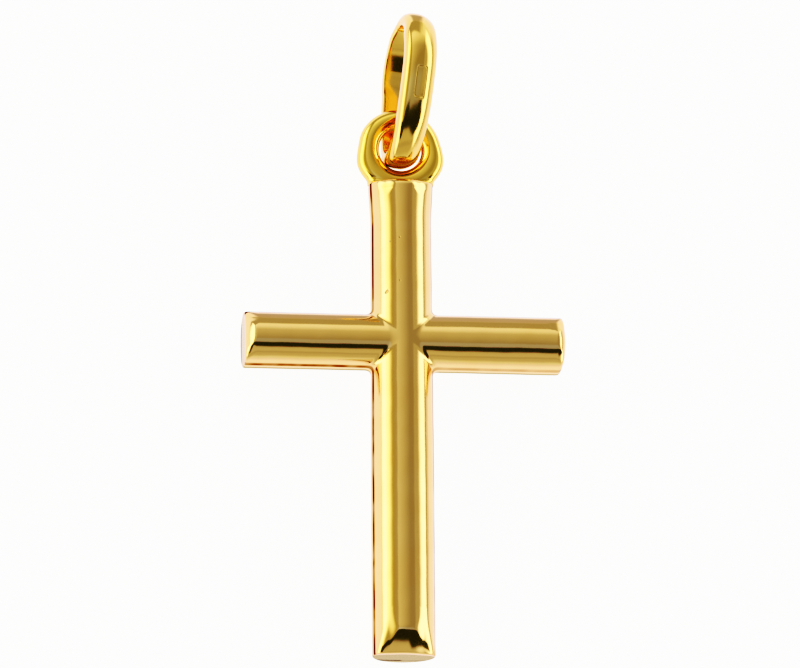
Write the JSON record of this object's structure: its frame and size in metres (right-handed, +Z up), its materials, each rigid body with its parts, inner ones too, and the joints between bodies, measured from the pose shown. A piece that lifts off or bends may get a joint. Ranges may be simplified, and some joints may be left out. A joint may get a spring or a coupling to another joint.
{
  "type": "cross pendant",
  "caption": "Hollow gold Latin cross pendant with rounded arms, bevelled ends, a soldered ring on top and a loose oval bail through it, lying on its back.",
  "frame": {"origin": "on the floor at the middle of the bounding box: on the stem's axis in x, and half way along the pendant with its bail in y", "axes": "+Y towards the cross's top and the bail, +X along the bar to the right seen from the front, +Z up, which is the cross's front, because the pendant lies on its back"},
  "size_m": [0.0166, 0.034, 0.0049],
  "materials": {
    "cross_gold": "polished yellow gold, 18 carat look",
    "bail_gold": "polished yellow gold, 18 carat look"
  },
  "bodies": {
    "root": {"cross": "cross_gold", "bail": "bail_gold"}
  },
  "joints": []
}
